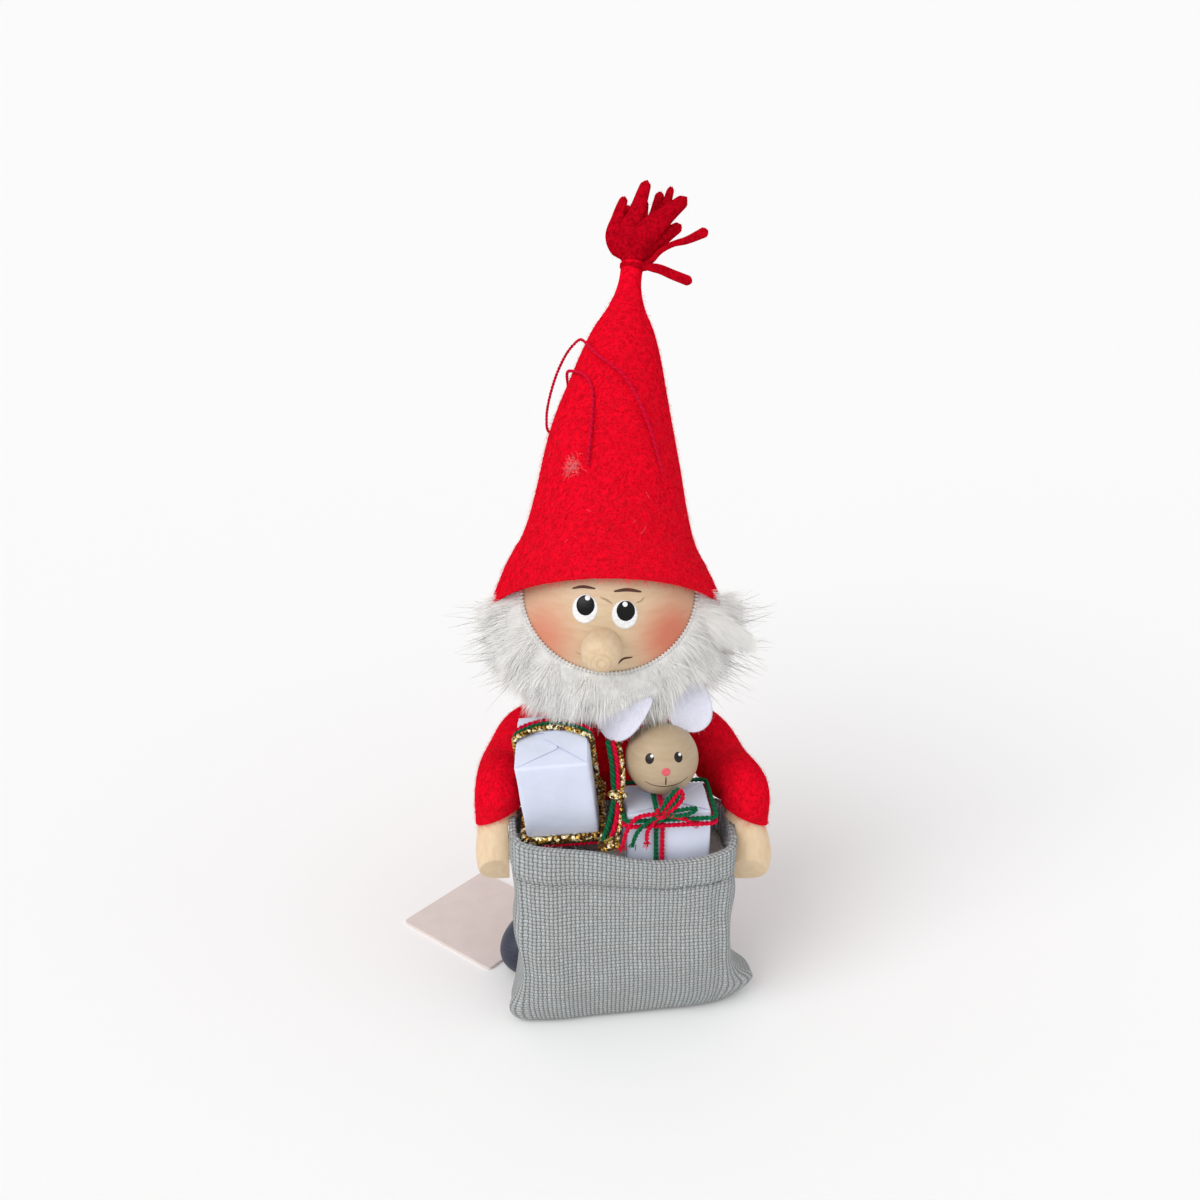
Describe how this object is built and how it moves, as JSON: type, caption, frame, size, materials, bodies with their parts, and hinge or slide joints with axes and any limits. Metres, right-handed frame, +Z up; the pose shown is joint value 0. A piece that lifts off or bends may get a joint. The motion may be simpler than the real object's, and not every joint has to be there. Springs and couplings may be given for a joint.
{
  "type": "santa figurine",
  "caption": "Standing Santa figurine of turned wood and felt with a fur beard and tasselled cone hat, holding a linen sack of wrapped parcels and a wooden rabbit.",
  "frame": {"origin": "middle of the footprint, on the ground under the boots, sack and card, leaving out the hanging cord", "axes": "+Z up, the face and the sack look along -Y, +X to the right as seen from the front"},
  "size_m": [0.1012, 0.0918, 0.209],
  "materials": {
    "red_felt": "pressed wool felt",
    "white_felt": "pressed wool felt",
    "fur": "long-pile imitation fur",
    "pale_wood": "turned and clear varnished",
    "plain_wood": "turned, unfinished",
    "boot_paint": "turned and painted dark grey",
    "linen": "coarse plain weave",
    "wadding": "loose fibre wadding",
    "white_paper": "smooth wrapping paper round a light core",
    "gold_braid": "metallic braided cord",
    "green_yarn": "twisted yarn",
    "red_yarn": "twisted yarn",
    "wire": "soft drawn wire",
    "card": "smooth card"
  },
  "bodies": {
    "root": {"arm_wire": "wire", "beard": "fur", "body_core": "plain_wood", "boot_left": "boot_paint", "boot_right": "boot_paint", "coat": "red_felt", "hand_left": "pale_wood", "hand_right": "pale_wood", "hanging_loop": "red_yarn", "hat": "red_felt", "hat_tassel": "red_felt", "hat_tie": "red_felt", "hat_wadding": "wadding", "head": "pale_wood", "large_parcel_gold_band": "gold_braid", "large_parcel_gold_cord": "gold_braid", "large_parcel_green_band": "green_yarn", "large_parcel_green_cord": "green_yarn", "large_parcel_red_band": "red_yarn", "large_parcel_red_cord": "red_yarn", "leg_left": "boot_paint", "leg_right": "boot_paint", "neck_dowel": "plain_wood", "nose": "pale_wood", "parcel_large": "white_paper", "parcel_small": "white_paper", "rabbit_ear_left": "white_felt", "rabbit_ear_right": "white_felt", "rabbit_head": "pale_wood", "sack": "linen", "sack_filling": "wadding", "sleeve_left": "red_felt", "sleeve_right": "red_felt", "small_parcel_bow": "red_yarn", "small_parcel_green_band": "green_yarn", "small_parcel_green_cord": "green_yarn", "small_parcel_red_band": "red_yarn", "small_parcel_red_cord": "red_yarn", "swing_tag": "card"}
  },
  "joints": []
}
